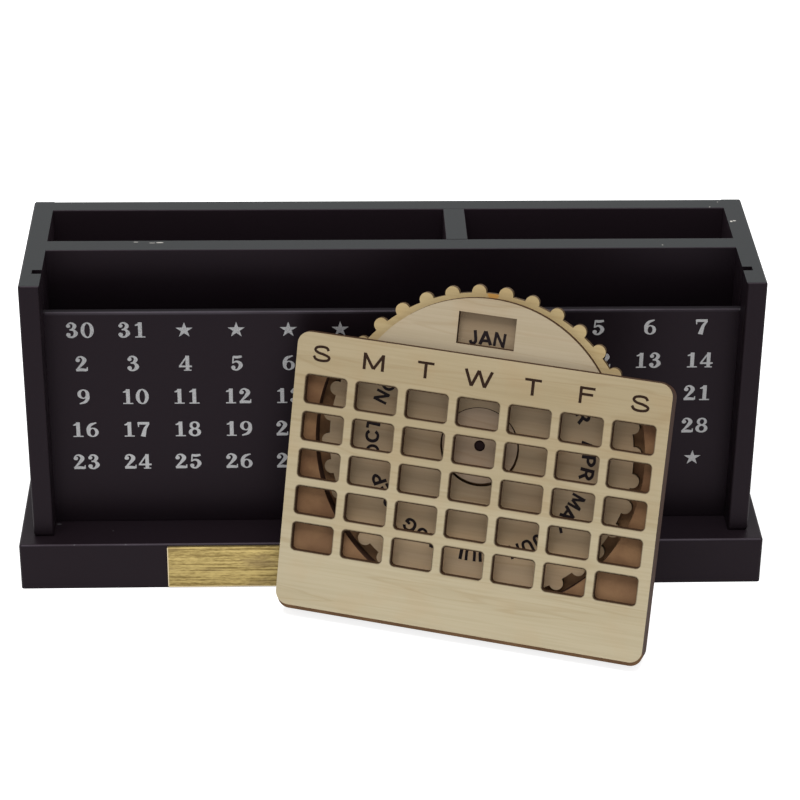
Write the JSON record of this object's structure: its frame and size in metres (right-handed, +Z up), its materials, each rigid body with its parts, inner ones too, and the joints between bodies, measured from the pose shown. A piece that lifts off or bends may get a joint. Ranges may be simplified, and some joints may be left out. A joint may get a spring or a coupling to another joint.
{
  "type": "desk calendar organizer",
  "caption": "Black wooden desk organizer with rear compartments and a sliding number board, plus a loose wooden calendar card with a turning month dial.",
  "frame": {"origin": "centre of the base board's underside", "axes": "+X along the width, to the right as the numbers are read; +Y from the front to the back; +Z up"},
  "size_m": [0.2948, 0.1516, 0.1335],
  "materials": {
    "black_paint": "satin black paint over fibreboard, slightly dusty on the top edges",
    "brass_strip": "lengthways brushed, lacquered",
    "fastener_steel": "plain zinc plated",
    "birch_ply": "bare pale plywood with scorched cut edges",
    "brown_board": "bare brown fibreboard",
    "dark_pin": "dark stained hardwood"
  },
  "bodies": {
    "organizer": {"base_board": "black_paint", "left_side": "black_paint", "right_side": "black_paint", "back_panel": "black_paint", "middle_panel": "black_paint", "rear_divider": "black_paint", "name_plate": "brass_strip", "base_brads": "fastener_steel", "panel_brads": "fastener_steel"},
    "number_board": {"number_panel": "black_paint"},
    "calendar_card": {"window_plate": "birch_ply", "month_cover": "birch_ply", "upper_spacer": "brown_board", "lower_spacer": "brown_board", "card_back": "brown_board", "hub_washer": "birch_ply", "dial_pin": "dark_pin"},
    "dial": {"month_dial": "birch_ply"}
  },
  "joints": [
    {"name": "number_panel_slide", "type": "slide", "parent": "organizer", "child": "number_board", "axis": [0, 0, 1], "range_m": [0, 0.111]},
    {"name": "card_lift", "type": "slide", "parent": "organizer", "child": "calendar_card", "axis": [0, 0, 1], "range_m": [0, 0.14]},
    {"name": "month_dial_turn", "type": "hinge", "parent": "calendar_card", "child": "dial", "pos_m": [0.0319, -0.06189, 0.07403], "axis": [-0.2867, -0.9121, 0.2932], "continuous": true}
  ]
}
